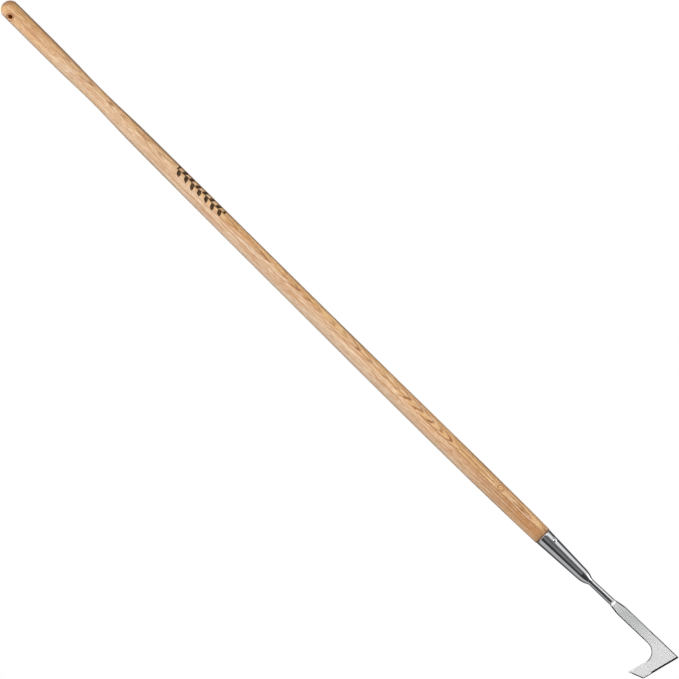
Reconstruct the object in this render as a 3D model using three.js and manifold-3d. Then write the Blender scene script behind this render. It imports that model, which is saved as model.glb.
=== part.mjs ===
// Long-handled hand weeder for the joints between paving stones: an ash shaft, a rolled steel socket
// riveted to its tenon, a short round stem welded into the socket's nose, and a hooked flat blade
// welded to the stem. The tool is modelled as it hangs: millimetres, +Z up along the shaft, and the
// origin at the centre of the hanging hole, whose axis is Y.
import * as THREE from 'three';
import { mergeVertices } from 'three/addons/utils/BufferGeometryUtils.js';
import Module from 'manifold-3d';

const wasm = await Module();
wasm.setup();

// ---- Driving dimensions ----------------------------------------------------------------------
const GAP = 0.3;                    // clearance kept between pieces that touch
const CUT_OVERRUN = 5;              // how far a cutting tool runs past what it cuts

// Shaft. Depths are distances below the hanging hole.
const CROWN_HEIGHT = 25.7;          // top of the domed end above the hole
const DOME_DEPTH = 15.3;
const MOUTH_DEPTH = 1225.3;         // where the shaft's shoulder meets the socket
const SHAFT_BOW = 2.3;              // the most that the shaft bows sideways
const BOW_PEAK = 0.6;               // where it bows most, as a share of its length
const SHAFT_DIAMETERS = [           // [depth, diameter]: grip knob, waist, full belly, shoulder
  [-CROWN_HEIGHT + DOME_DEPTH, 31.0],
  [70, 31.0],
  [125, 30.0],
  [160, 27.9],
  [195, 27.1],
  [225, 28.0],
  [275, 30.8],
  [330, 31.9],
  [520, 33.2],
  [700, 33.7],
  [850, 35.0],
  [950, 35.5],
  [1070, 35.5],
  [1130, 34.4],
  [1190, 33.0],
  [MOUTH_DEPTH, 31.4],
];
const SHAFT_RINGS = 44;
const DOME_RINGS = 5;
const ROUND_SEGMENTS = 32;

// Hanging hole
const HOLE_DIAMETER = 8;
const COUNTERSINK_START = 13.2;     // distance from the shaft's axis where the 45 degree flare starts

// Socket: a straight cone that closes in a rounded nose. Heights are distances below the mouth.
const SOCKET_WALL = 1.5;
const CONE_LENGTH = 88.4;
const MOUTH_RADIUS = 15.25;
const CONE_TAPER = 0.048;           // radius lost per millimetre
const NOSE_SEMI_LENGTH = 21.7;      // of the half ellipse that the nose follows
const NOSE_LENGTH = 14;             // where the nose is cut open for the stem
const NOSE_RINGS = 7;
const TENON_LENGTH = 76;
const TENON_CHAMFER = 1;
const SEAM_WIDTH = 2;

// Rivet through the socket and the tenon
const RIVET_HEIGHT = 17.6;
const RIVET_AZIMUTH = 42;           // degrees round from the blade's front face, away from the foot
const RIVET_SHANK_RADIUS = 2.5;
const RIVET_HEAD_RADIUS = 4.7;
const RIVET_HEAD_RISE = 2.3;
const RIVET_TAIL_SHARE = 0.7;       // the peened tail's rise, as a share of the head's
const RIVET_DOME = [                // [share of the head's radius, share of its rise]
  [0.95, 0.45],
  [0.7, 0.8],
  [0.4, 0.96],
];

// Stem
const STEM_TOP_RADIUS = 5.5;
const STEM_FOOT_RADIUS = 6;
const STEM_START = 106.8;           // where the stem leaves the nose
const STEM_LENGTH = 49.7;           // seen length, down to the blade
const STEM_BURIED = 17;             // length inside the socket
const STEM_OFFSET = 0.72;           // the stem sits this far off the nose's centre
const STEM_LEAN = 0.79;             // degrees
const STEM_EDGE = 1.2;              // rounding of the stem's foot
const STEM_CHAMFER = 1;             // at its end inside the socket
const NOSE_WELD_WIDTH = 1.6;        // thickness, under the nose, of the ring of weld round the stem
const NOSE_WELD_LAP = 1;            // how far that ring runs on down the stem
const NOSE_WELD_SWEEP = [           // [share of its thickness, share of its height]
  [0.25, 0],
  [0.4, 0.25],
  [0.7, 0.75],
  [1, 1],
];

// Blade outline, as [distance below the stem, distance towards the foot's tip]
const BLADE_THICKNESS = 3;
const NECK_HALF_WIDTH = 6.2;
const FLARE_LENGTH = 24.4;
const FLARE_PULL_NECK = [9, 7.2];   // the flare's curve leaves the neck towards this [distance, half width]
const FLARE_PULL_SHANK = [15, 9.0]; // and comes to the shank from this one
const BACK_TOP = [FLARE_LENGTH, -9.4];
const HEEL = [141.8, -8.6];
const SOLE_END = [123.1, 56.2];
const TOE = [97.6, 65.6];
const SHANK_INNER = 9.0;            // inner edge of the shank
const CROTCH_RADIUS = 19;           // fillet between the shank and the foot
const BEVEL_ANGLE = 33;             // degrees that the ground edges slope back from the front face
const SOLE_BEVEL_WIDTH = 3.4;
const SOLE_BEVEL_SHARE = 0.75;      // the sole is ground from the heel over this share of its length
const TOE_BEVEL_WIDTH = 1.8;
const WELD_LENGTH = 5.2;            // run of the ramp-shaped welds at the blade's neck
const WELD_HALF_WIDTH = 5;
const WELD_KNEE = [0.7, 0.8];       // [share of the run, thickness] where the ramp turns shallower

const FRONT_AZIMUTH = 37;           // degrees that the blade's front is turned from the hole's axis

// ---- Materials -------------------------------------------------------------------------------
function paint(color, roughness, metalness) {
  return new THREE.MeshStandardMaterial({ color, roughness, metalness });
}

const ash = paint(0xd9b78c, 0.55, 0);
const polishedSteel = paint(0xb4b6b8, 0.22, 1);
const satinSteel = paint(0xc9cacb, 0.42, 1);
const weldSteel = paint(0xa9aaac, 0.4, 1);

// ---- Solid helpers ---------------------------------------------------------------------------
const radians = THREE.MathUtils.degToRad;

function toSolid(geometry) {
  const bare = geometry.index ? geometry.toNonIndexed() : geometry.clone();
  bare.deleteAttribute('normal');
  bare.deleteAttribute('uv');
  const welded = mergeVertices(bare, 1e-4);
  return new wasm.Manifold(new wasm.Mesh({
    numProp: 3,
    vertProperties: new Float32Array(welded.attributes.position.array),
    triVerts: new Uint32Array(welded.index.array),
  }));
}

function toGeometry(solid) {
  const mesh = solid.getMesh();
  const geometry = new THREE.BufferGeometry();
  geometry.setAttribute('position', new THREE.BufferAttribute(new Float32Array(mesh.vertProperties), 3));
  geometry.setIndex(new THREE.BufferAttribute(new Uint32Array(mesh.triVerts), 1));
  geometry.computeVertexNormals();
  return geometry;
}

// A solid of revolution about Z from [radius, z] points. They run from the lowest up along the
// outside, so that the faces point out.
function turned(profile, segments = ROUND_SEGMENTS) {
  const points = profile.map(([radius, z]) => new THREE.Vector2(radius, z));
  return new THREE.LatheGeometry(points, segments).rotateX(Math.PI / 2);
}

// An outline of [depth, side] points stands up as a plate of the given thickness, centred on Y = 0.
function plate(shape, thickness) {
  const settings = { depth: thickness, bevelEnabled: false, curveSegments: 10 };
  const geometry = new THREE.ExtrudeGeometry(shape, settings);
  return geometry.translate(0, 0, -thickness / 2).rotateX(Math.PI / 2);
}

function named(name, geometry, material) {
  const mesh = new THREE.Mesh(geometry, material);
  mesh.name = name;
  return mesh;
}

// ---- Shaft -----------------------------------------------------------------------------------
// The diameter follows a smooth curve through SHAFT_DIAMETERS.
function shaftRadius(depth) {
  const stations = SHAFT_DIAMETERS;
  const last = stations.length - 1;
  const slope = (i) => {
    const [before, after] = [stations[Math.max(i - 1, 0)], stations[Math.min(i + 1, last)]];
    return (after[1] - before[1]) / (after[0] - before[0]);
  };
  let i = 0;
  while (i < last - 1 && depth > stations[i + 1][0]) i += 1;
  const [[start, from], [end, to]] = [stations[i], stations[i + 1]];
  const span = end - start;
  const t = (depth - start) / span;
  const eased = t * t * (3 - 2 * t);
  const diameter = from + (to - from) * eased
    + span * slope(i) * t * (1 - t) ** 2
    - span * slope(i + 1) * t * t * (1 - t);
  return diameter / 2;
}

// Sideways offset of the shaft's centre, towards the foot of the blade. It is nil down to the hole and
// at the mouth, and the tenon runs straight on.
const bowPower = BOW_PEAK / (1 - BOW_PEAK);
const bowScale = SHAFT_BOW / (BOW_PEAK ** bowPower * (1 - BOW_PEAK));

function bow(depth) {
  const along = Math.max(depth, 0) / MOUTH_DEPTH;
  return bowScale * Math.min(along, 1) ** bowPower * (1 - along);
}

const headLean = Math.atan(bowScale / MOUTH_DEPTH);
const footDirection = new THREE.Vector2(-Math.cos(radians(FRONT_AZIMUTH)), -Math.sin(radians(FRONT_AZIMUTH)));

function socketRadius(height) {
  const cone = MOUTH_RADIUS - CONE_TAPER * height;
  const intoNose = Math.max(height - CONE_LENGTH, 0) / NOSE_SEMI_LENGTH;
  return cone * Math.sqrt(1 - intoNose ** 2);
}

function shaftProfile() {
  const tenonRadius = (height) => socketRadius(height) - SOCKET_WALL - GAP;
  const domeStart = SHAFT_DIAMETERS[0][0];
  const profile = [
    [0, -MOUTH_DEPTH - TENON_LENGTH],
    [tenonRadius(TENON_LENGTH) - TENON_CHAMFER, -MOUTH_DEPTH - TENON_LENGTH],
    [tenonRadius(TENON_LENGTH), -MOUTH_DEPTH - TENON_LENGTH + TENON_CHAMFER],
    [tenonRadius(0), -MOUTH_DEPTH + GAP],
  ];
  for (let i = SHAFT_RINGS; i >= 0; i -= 1) {
    const depth = domeStart + (MOUTH_DEPTH - GAP - domeStart) * (i / SHAFT_RINGS);
    profile.push([shaftRadius(depth), -depth]);
  }
  for (let i = 1; i < DOME_RINGS; i += 1) {
    const angle = (Math.PI / 2) * (i / DOME_RINGS);
    profile.push([shaftRadius(domeStart) * Math.cos(angle), -domeStart + DOME_DEPTH * Math.sin(angle)]);
  }
  profile.push([0, CROWN_HEIGHT]);
  return profile;
}

function shaftBlank() {
  const geometry = turned(shaftProfile());
  const position = geometry.attributes.position;
  for (let i = 0; i < position.count; i += 1) {
    const offset = bow(-position.getZ(i));
    position.setX(i, position.getX(i) + offset * footDirection.x);
    position.setY(i, position.getY(i) + offset * footDirection.y);
  }
  return toSolid(geometry);
}

// The hole's cutter is turned about Y and flares at both ends, which countersinks the hole.
function hangingHoleCutter() {
  const radius = HOLE_DIAMETER / 2;
  const reach = COUNTERSINK_START + CUT_OVERRUN;
  const profile = [
    [0, -reach],
    [radius + CUT_OVERRUN, -reach],
    [radius, -COUNTERSINK_START],
    [radius, COUNTERSINK_START],
    [radius + CUT_OVERRUN, reach],
    [0, reach],
  ];
  return toSolid(turned(profile, 24).rotateX(Math.PI / 2));
}

// ---- Head: everything below is placed from the centre of the socket's mouth. +X points to the
// foot's tip, +Y out of the blade's front face, and -Z down the socket. -------------------------
function socketShell() {
  const inner = (height) => socketRadius(height) - SOCKET_WALL;
  const end = CONE_LENGTH + NOSE_LENGTH;
  const profile = [];
  for (let i = NOSE_RINGS; i >= 0; i -= 1) {
    const height = CONE_LENGTH + NOSE_LENGTH * (i / NOSE_RINGS);
    profile.push([socketRadius(height), -height]);
  }
  profile.push([MOUTH_RADIUS, 0], [inner(0), 0]);
  for (let i = 0; i < NOSE_RINGS; i += 1) {
    const height = CONE_LENGTH + NOSE_LENGTH * (i / NOSE_RINGS);
    profile.push([inner(height), -height]);
  }
  const throat = STEM_TOP_RADIUS / 2;
  profile.push([throat, -end + SOCKET_WALL], [throat, -end], profile[0]);
  return turned(profile);
}

// A slot along the back of the cone, where the rolled sheet's two edges meet.
function seamSlot(width) {
  const slot = new THREE.BoxGeometry(width, MOUTH_RADIUS, CONE_LENGTH + GAP);
  return toSolid(slot.translate(0, -MOUTH_RADIUS, -CONE_LENGTH / 2));
}

function seamBead() {
  const proud = 0.4;
  const low = CONE_LENGTH - GAP;
  const radius = (height, offset) => socketRadius(height) + offset;
  const wall = turned([
    [radius(low, -SOCKET_WALL), -low],
    [radius(low, proud), -low],
    [radius(GAP, proud), -GAP],
    [radius(GAP, -SOCKET_WALL), -GAP],
    [radius(low, -SOCKET_WALL), -low],
  ]);
  return toGeometry(toSolid(wall).intersect(seamSlot(SEAM_WIDTH)));
}

// The rivet is one pin with a domed head on one side and a peened tail on the other.
function rivetProfile() {
  const face = socketRadius(RIVET_HEIGHT) + GAP;
  const tailRise = RIVET_HEAD_RISE * RIVET_TAIL_SHARE;
  const dome = (rise) => RIVET_DOME.map(([across, up]) => [RIVET_HEAD_RADIUS * across, face + rise * up]);
  return [
    [0, -face - tailRise],
    ...dome(tailRise).map(([radius, z]) => [radius, -z]).reverse(),
    [RIVET_HEAD_RADIUS, -face],
    [RIVET_SHANK_RADIUS, -face],
    [RIVET_SHANK_RADIUS, face],
    [RIVET_HEAD_RADIUS, face],
    ...dome(RIVET_HEAD_RISE),
    [0, face + RIVET_HEAD_RISE],
  ];
}

function placeRivet(geometry) {
  return geometry.rotateX(-Math.PI / 2).rotateZ(radians(RIVET_AZIMUTH)).translate(0, 0, -RIVET_HEIGHT);
}

// The drilling for the rivet, through the socket and the tenon.
function rivetDrill() {
  const radius = RIVET_SHANK_RADIUS + GAP;
  const reach = 2 * MOUTH_RADIUS;
  return placeRivet(turned([[0, -reach], [radius, -reach], [radius, reach], [0, reach]], 16));
}

// The round bar, drawn from the point where it leaves the nose. It runs up into the socket.
function stemGeometry(clearance = 0) {
  const foot = STEM_LENGTH + clearance;
  return turned([
    [0, -foot],
    [STEM_FOOT_RADIUS - STEM_EDGE + clearance, -foot],
    [STEM_FOOT_RADIUS - STEM_EDGE * 0.3 + clearance, -foot + STEM_EDGE * 0.3],
    [STEM_FOOT_RADIUS + clearance, -foot + STEM_EDGE],
    [STEM_TOP_RADIUS + clearance, 0],
    [STEM_TOP_RADIUS + clearance, STEM_BURIED - STEM_CHAMFER],
    [STEM_TOP_RADIUS - STEM_CHAMFER + clearance, STEM_BURIED + clearance],
    [0, STEM_BURIED + clearance],
  ], 24);
}

// A ring of weld that carries the nose's round shape on down to the stem.
function noseWeld() {
  const top = STEM_START - CONE_LENGTH - NOSE_LENGTH - GAP * 2;
  const foot = -NOSE_WELD_LAP;
  const inner = STEM_TOP_RADIUS + GAP;
  return turned([
    [inner, foot],
    ...NOSE_WELD_SWEEP.map(([across, up]) => [inner + NOSE_WELD_WIDTH * across, foot + (top - foot) * up]),
    [inner, top],
    [inner, foot],
  ], 24);
}

// ---- Blade: drawn from the centre of the stem's foot, u down the blade and v towards the toe ----
function crotchArc() {
  const along = new THREE.Vector2(SOLE_END[1] - HEEL[1], SOLE_END[0] - HEEL[0]).normalize();
  const out = new THREE.Vector2(along.y, -along.x);
  const toe = new THREE.Vector2(TOE[1], TOE[0]);
  const centreV = SHANK_INNER + CROTCH_RADIUS;
  const offset = toe.clone().addScaledVector(out, CROTCH_RADIUS);
  const centreU = offset.y + along.y * ((centreV - offset.x) / along.x);
  const turn = Math.atan2(-out.x, -out.y);
  return { centre: new THREE.Vector2(centreV, centreU), turn };
}

function bladeShape() {
  const { centre, turn } = crotchArc();
  const point = ([u, v]) => [v, -u];
  const across = ([u, v]) => [-v, -u];
  const shape = new THREE.Shape();
  shape.moveTo(NECK_HALF_WIDTH, -GAP);
  shape.bezierCurveTo(...point(FLARE_PULL_NECK), ...point(FLARE_PULL_SHANK), SHANK_INNER, -FLARE_LENGTH);
  shape.absarc(centre.x, -centre.y, CROTCH_RADIUS, Math.PI, Math.PI * 1.5 + turn, false);
  shape.lineTo(...point(TOE));
  shape.lineTo(...point(SOLE_END));
  shape.lineTo(...point(HEEL));
  shape.lineTo(...point(BACK_TOP));
  shape.bezierCurveTo(...across(FLARE_PULL_SHANK), ...across(FLARE_PULL_NECK), -NECK_HALF_WIDTH, -GAP);
  return shape;
}

// A wedge that grinds the front edge from one outline point towards the next, over a share of the way.
function bevelCutter(from, to, width, share = 1) {
  const start = new THREE.Vector3(from[1], BLADE_THICKNESS / 2, -from[0]);
  const end = new THREE.Vector3(to[1], BLADE_THICKNESS / 2, -to[0]);
  const along = end.clone().sub(start).normalize();
  const outward = new THREE.Vector3(along.z, 0, -along.x);
  const length = start.distanceTo(end) * share + (share < 1 ? 1 : 2) * CUT_OVERRUN;
  const depth = width * Math.tan(radians(BEVEL_ANGLE));
  const wedge = new THREE.Shape();
  wedge.moveTo(-width, 0);
  wedge.lineTo(width, -2 * depth);
  wedge.lineTo(width, BLADE_THICKNESS);
  wedge.lineTo(-width, BLADE_THICKNESS);
  const geometry = new THREE.ExtrudeGeometry(wedge, { depth: length, bevelEnabled: false });
  const front = new THREE.Vector3().crossVectors(along, outward);
  const turn = new THREE.Matrix4().makeBasis(outward, front, along);
  turn.setPosition(start.addScaledVector(along, -CUT_OVERRUN));
  return toSolid(geometry.applyMatrix4(turn));
}

function bladeGeometry() {
  const blank = toSolid(plate(bladeShape(), BLADE_THICKNESS));
  const sole = bevelCutter(HEEL, SOLE_END, SOLE_BEVEL_WIDTH, SOLE_BEVEL_SHARE);
  const toe = bevelCutter(SOLE_END, TOE, TOE_BEVEL_WIDTH);
  return toGeometry(blank.subtract(sole).subtract(toe));
}

// A ramp of weld from the stem's foot down to the plate's face. side is 1 at the front, -1 at the back.
function neckWeld(side) {
  const face = BLADE_THICKNESS / 2 + GAP;
  const ramp = new THREE.Shape();
  ramp.moveTo(face, -GAP);
  ramp.lineTo(STEM_FOOT_RADIUS - STEM_EDGE, -GAP);
  ramp.lineTo(face + WELD_KNEE[1], -WELD_LENGTH * WELD_KNEE[0]);
  ramp.lineTo(face, -WELD_LENGTH);
  const width = 2 * WELD_HALF_WIDTH;
  const geometry = new THREE.ExtrudeGeometry(ramp, { depth: width, bevelEnabled: false });
  geometry.translate(0, 0, -WELD_HALF_WIDTH).rotateX(Math.PI / 2).rotateZ(side * Math.PI / 2);
  return geometry;
}

// ---- Assembly --------------------------------------------------------------------------------
const stemPlace = new THREE.Group();
stemPlace.position.set(-STEM_OFFSET, 0, -STEM_START);
stemPlace.rotation.y = radians(STEM_LEAN);
stemPlace.updateMatrix();

const stemHole = toSolid(stemGeometry(GAP).applyMatrix4(stemPlace.matrix));
const slottedShell = toSolid(socketShell()).subtract(seamSlot(SEAM_WIDTH + 2 * GAP));
const socket = slottedShell.subtract(toSolid(rivetDrill())).subtract(stemHole);

const bladePlace = new THREE.Group();
bladePlace.position.z = -STEM_LENGTH;
bladePlace.add(
  named('blade', bladeGeometry(), satinSteel),
  named('blade_weld_front', neckWeld(1), weldSteel),
  named('blade_weld_back', neckWeld(-1), weldSteel),
);
stemPlace.add(
  named('stem', stemGeometry(), polishedSteel),
  named('nose_weld', noseWeld(), weldSteel),
  bladePlace,
);

const head = new THREE.Group();
head.rotation.y = headLean;
head.add(
  named('socket', toGeometry(socket), polishedSteel),
  named('socket_seam_weld', seamBead(), weldSteel),
  named('rivet', placeRivet(turned(rivetProfile(), 16)), polishedSteel),
  stemPlace,
);
const headTurn = new THREE.Group();
headTurn.position.z = -MOUTH_DEPTH;
headTurn.rotation.z = radians(180 + FRONT_AZIMUTH);
headTurn.add(head);

const group = new THREE.Group();
group.add(headTurn);
group.updateMatrixWorld(true);
const shaftDrill = toSolid(rivetDrill().applyMatrix4(head.matrixWorld));
const shaft = shaftBlank().subtract(hangingHoleCutter()).subtract(shaftDrill);
group.add(named('handle', toGeometry(shaft), ash));

export default group;
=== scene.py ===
"""The looks of a long-handled paving weeder: an ash shaft, a steel socket, a short stem, a hooked blade.

The tool hangs with +Z up. The origin is the centre of the hanging hole, whose axis is Y. Lengths are
in millimetres until a mesh is made, as in the CAD model, whose sizes are repeated below.
"""
import math
from math import radians

import bmesh
import bpy
from mathutils import Matrix, Vector, noise


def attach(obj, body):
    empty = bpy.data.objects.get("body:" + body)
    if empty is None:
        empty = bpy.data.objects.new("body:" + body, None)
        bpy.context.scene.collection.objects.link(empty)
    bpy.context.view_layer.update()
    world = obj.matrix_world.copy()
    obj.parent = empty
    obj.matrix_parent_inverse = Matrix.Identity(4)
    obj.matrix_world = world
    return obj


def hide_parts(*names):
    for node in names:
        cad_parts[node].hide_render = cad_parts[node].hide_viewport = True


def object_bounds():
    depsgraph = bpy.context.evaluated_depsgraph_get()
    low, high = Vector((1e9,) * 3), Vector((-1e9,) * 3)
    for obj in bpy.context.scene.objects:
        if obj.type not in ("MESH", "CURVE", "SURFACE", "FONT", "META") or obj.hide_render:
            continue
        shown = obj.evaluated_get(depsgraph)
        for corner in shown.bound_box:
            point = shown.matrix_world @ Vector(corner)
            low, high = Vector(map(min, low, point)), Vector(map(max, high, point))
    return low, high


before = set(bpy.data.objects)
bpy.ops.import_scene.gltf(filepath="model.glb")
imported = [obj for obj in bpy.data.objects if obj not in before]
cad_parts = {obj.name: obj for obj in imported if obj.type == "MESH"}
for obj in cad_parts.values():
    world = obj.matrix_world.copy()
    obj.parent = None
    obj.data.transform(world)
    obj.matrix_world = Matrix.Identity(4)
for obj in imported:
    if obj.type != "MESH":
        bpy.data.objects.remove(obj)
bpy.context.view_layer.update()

MM = 0.001

# ---- Sizes shared with the CAD model, in millimetres
CROWN_HEIGHT = 25.7
DOME_DEPTH = 15.3
MOUTH_DEPTH = 1225.3
SHAFT_BOW = 2.3
BOW_PEAK = 0.6
SHAFT_DIAMETERS = [  # (depth below the hanging hole, diameter)
    (-CROWN_HEIGHT + DOME_DEPTH, 31.0), (70, 31.0), (125, 30.0), (160, 27.9), (195, 27.1), (225, 28.0),
    (275, 30.8), (330, 31.9), (520, 33.2), (700, 33.7), (850, 35.0), (950, 35.5), (1070, 35.5),
    (1130, 34.4), (1190, 33.0), (MOUTH_DEPTH, 31.4),
]
HOLE_RADIUS = 4
COUNTERSINK_START = 13.2

SOCKET_WALL = 1.5
CONE_LENGTH = 88.4
MOUTH_RADIUS = 15.25
CONE_TAPER = 0.048
NOSE_SEMI_LENGTH = 21.7
NOSE_LENGTH = 14
TENON_LENGTH = 76

RIVET_HEIGHT = 17.6
RIVET_AZIMUTH = 42
RIVET_SHANK_RADIUS = 2.5
RIVET_HEAD_RADIUS = 4.7
RIVET_HEAD_RISE = 2.3

STEM_TOP_RADIUS = 5.5
STEM_FOOT_RADIUS = 6
STEM_START = 106.8
STEM_LENGTH = 49.7
STEM_BURIED = 17
STEM_OFFSET = 0.72
STEM_LEAN = 0.79
STEM_EDGE = 1.2

BLADE_THICKNESS = 3
NECK_HALF_WIDTH = 6.2
FLARE_LENGTH = 24.4
FLARE_PULL_NECK = (9, 7.2)
FLARE_PULL_SHANK = (15, 9.0)
BACK_TOP = (FLARE_LENGTH, -9.4)
HEEL = (141.8, -8.6)
SOLE_END = (123.1, 56.2)
TOE = (97.6, 65.6)
SHANK_INNER = 9.0
CROTCH_RADIUS = 19
BEVEL_ANGLE = 33
SOLE_BEVEL_WIDTH = 3.4
SOLE_BEVEL_SHARE = 0.75
TOE_BEVEL_WIDTH = 1.8
WELD_LENGTH = 5.2

FRONT_AZIMUTH = 37

# ---- Sizes that only the looks need, in millimetres
FIT = 0.05  # hairline between pieces that are pressed together
HOLE_RIM = 0.8  # rounding where the hole meets its countersink
FLARE_REACH = 6  # how far the countersink's cutter runs on
TENON_ROUND = 1.5
SHOULDER_ROUND = 1.1
SANDING_DEPTH = 0.06  # of the waves that sanding leaves on the wood
RIM_ROUND = 0.6
SEAM_HALF_WIDTH = 0.8  # of the slot in the socket, which the seam's bead fills
SEAM_LAP = 0.55  # how far the bead's crown laps over the sheet on each side
SEAM_CROWN = 0.22  # how far the crown stands up in its middle
SEAM_RIPPLE = 0.035
RIVET_LIP = 0.25  # upright edge under the rivet's domes
RIVET_TAIL_WIDTH = 0.9  # the peened tail's radius and rise, as shares of the head's
RIVET_TAIL_RISE = 0.6
EDGE_ROUND = 1.45  # worn edges of the blade
BEVEL_RUN_OUT = 5  # how far the sole's bevel takes to fade out
FLOOR_DROP = 800  # the tool hangs this far above the floor
FLOOR_RADIUS = 950

# ---- Frames of the head's pieces
BOW_POWER = BOW_PEAK / (1 - BOW_PEAK)
BOW_SCALE = SHAFT_BOW / (BOW_PEAK ** BOW_POWER * (1 - BOW_PEAK))
HEAD_LEAN = math.atan(BOW_SCALE / MOUTH_DEPTH)
FOOT_DIRECTION = Vector((-math.cos(radians(FRONT_AZIMUTH)), -math.sin(radians(FRONT_AZIMUTH)), 0))


def shift(x, y, z):
    return Matrix.Translation(Vector((x, y, z)) * MM)


def turn(angle, axis):
    return Matrix.Rotation(angle, 4, axis)


HEAD = shift(0, 0, -MOUTH_DEPTH) @ turn(radians(180 + FRONT_AZIMUTH), "Z") @ turn(HEAD_LEAN, "Y")
STEM = HEAD @ shift(-STEM_OFFSET, 0, -STEM_START) @ turn(radians(STEM_LEAN), "Y")
BLADE = STEM @ shift(0, 0, -STEM_LENGTH)
RIVET = HEAD @ shift(0, 0, -RIVET_HEIGHT) @ turn(radians(RIVET_AZIMUTH), "Z") @ turn(radians(-90), "X")


# ---- Mesh helpers
def finish_mesh(piece, sharp_angle=38):
    piece.data.shade_smooth()
    piece.data.set_sharp_from_angle(angle=radians(sharp_angle))
    return piece


def new_piece(name, verts, faces, place=Matrix.Identity(4)):
    """A mesh object from points in millimetres, put in place by a matrix in metres. Points that fall
    together are merged, and the faces are turned outwards."""
    mesh = bpy.data.meshes.new(name)
    mesh.from_pydata([place @ (Vector(v) * MM) for v in verts], [], faces)
    mesh.validate()
    bm = bmesh.new()
    bm.from_mesh(mesh)
    bmesh.ops.remove_doubles(bm, verts=bm.verts, dist=0.002 * MM)
    bmesh.ops.recalc_face_normals(bm, faces=bm.faces)
    bm.to_mesh(mesh)
    bm.free()
    piece = bpy.data.objects.new(name, mesh)
    bpy.context.scene.collection.objects.link(piece)
    return piece


def lathe(name, profile, place=Matrix.Identity(4), segments=96, closed=False):
    """A solid of revolution about Z from (radius, z) points."""
    verts, rings = [], []
    for radius, z in profile:
        if radius <= 0:
            rings.append([len(verts)])
            verts.append((0, 0, z))
            continue
        start = len(verts)
        rings.append(list(range(start, start + segments)))
        for i in range(segments):
            angle = 2 * math.pi * i / segments
            verts.append((radius * math.cos(angle), radius * math.sin(angle), z))
    pairs = list(zip(rings, rings[1:]))
    if closed:
        pairs.append((rings[-1], rings[0]))
    faces = []
    for low, high in pairs:
        for i in range(segments):
            j = (i + 1) % segments
            corners = [low[i % len(low)], low[j % len(low)], high[j % len(high)], high[i % len(high)]]
            faces.append(list(dict.fromkeys(corners)))
    return new_piece(name, verts, faces, place)


def rounded(corners, steps=5):
    """A path through (x, y, rounding) corners, each rounded over that distance on both sides."""
    path = []
    for i, (x, y, size) in enumerate(corners):
        corner = Vector((x, y))
        if not size:
            path.append((x, y))
            continue
        before = Vector(corners[i - 1][:2])
        after = Vector(corners[(i + 1) % len(corners)][:2])
        start = corner + (before - corner).normalized() * size
        end = corner + (after - corner).normalized() * size
        for k in range(steps + 1):
            t = k / steps
            path.append(tuple(start * (1 - t) ** 2 + corner * 2 * t * (1 - t) + end * t * t))
    return path


def bezier(start, pull_a, pull_b, end, steps):
    """Points along a cubic curve, without its end."""
    points = []
    for k in range(steps):
        t = k / steps
        a, b, c, d = (1 - t) ** 3, 3 * t * (1 - t) ** 2, 3 * t * t * (1 - t), t ** 3
        points.append(tuple(a * start[i] + b * pull_a[i] + c * pull_b[i] + d * end[i] for i in (0, 1)))
    return points


def bake_modifiers(piece):
    graph = bpy.context.evaluated_depsgraph_get()
    mesh = bpy.data.meshes.new_from_object(piece.evaluated_get(graph))
    piece.modifiers.clear()
    piece.data = mesh
    return piece


def cut(piece, *cutters):
    """Cuts the cutters out of the piece and removes them."""
    for cutter in cutters:
        modifier = piece.modifiers.new("cut", "BOOLEAN")
        modifier.operation = "DIFFERENCE"
        modifier.solver = "EXACT"
        modifier.object = cutter
    bake_modifiers(piece)
    for cutter in cutters:
        bpy.data.objects.remove(cutter)
    return piece


def soften_edges(piece, width):
    modifier = piece.modifiers.new("soften", "BEVEL")
    modifier.width = width * MM
    modifier.segments = 6
    modifier.limit_method = "ANGLE"
    modifier.angle_limit = radians(30)
    return bake_modifiers(piece)


# ---- Shapes
def smooth(t):
    """0 to 1 as t goes from 0 to 1, level at both ends."""
    return t * t * (3 - 2 * t)


def shaft_radius(depth):
    """The same smooth curve through SHAFT_DIAMETERS as the CAD shaft follows."""
    stations = SHAFT_DIAMETERS
    last = len(stations) - 1

    def slope(i):
        before, after = stations[max(i - 1, 0)], stations[min(i + 1, last)]
        return (after[1] - before[1]) / (after[0] - before[0])

    i = 0
    while i < last - 1 and depth > stations[i + 1][0]:
        i += 1
    (start, from_), (end, to) = stations[i], stations[i + 1]
    span = end - start
    t = (depth - start) / span
    diameter = from_ + (to - from_) * smooth(t)
    diameter += span * slope(i) * t * (1 - t) ** 2
    diameter -= span * slope(i + 1) * t * t * (1 - t)
    return diameter / 2


def bow(depth):
    """How far the shaft's centre is bowed in the foot's direction."""
    along = max(depth, 0) / MOUTH_DEPTH
    return BOW_SCALE * min(along, 1) ** BOW_POWER * (1 - along)


def socket_radius(height):
    """Outside radius of the socket at a distance below its mouth."""
    into_nose = max(height - CONE_LENGTH, 0) / NOSE_SEMI_LENGTH
    return (MOUTH_RADIUS - CONE_TAPER * height) * math.sqrt(1 - into_nose ** 2)


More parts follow.
